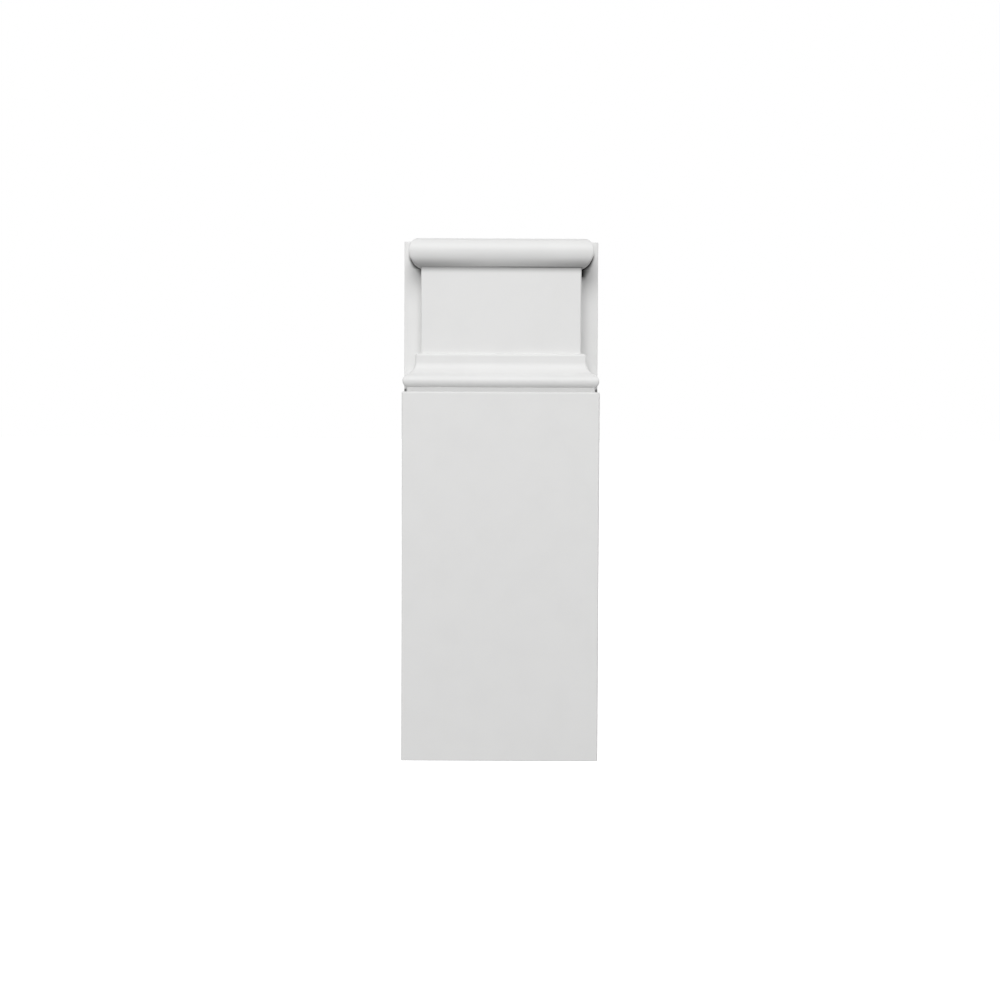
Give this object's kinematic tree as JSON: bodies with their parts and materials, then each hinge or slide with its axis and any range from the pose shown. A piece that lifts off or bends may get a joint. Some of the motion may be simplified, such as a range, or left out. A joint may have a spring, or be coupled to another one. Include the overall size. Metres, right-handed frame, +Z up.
{
  "type": "door surround plinth block",
  "caption": "Plain white plinth block for the foot of a door surround, with a base moulding, a flat panel and a rounded cap on a back plate that is glued to the wall.",
  "frame": {"origin": "middle of the footprint on the floor: half of the width, half of the depth, underside at Z = 0", "axes": "+X to the right seen from the front, +Y from the front into the wall, +Z up"},
  "size_m": [0.098, 0.032, 0.26],
  "materials": {
    "primed_white": "matt white factory primer on cast rigid polymer, ready to paint"
  },
  "bodies": {
    "root": {"plinth_block": "primed_white"}
  },
  "joints": []
}
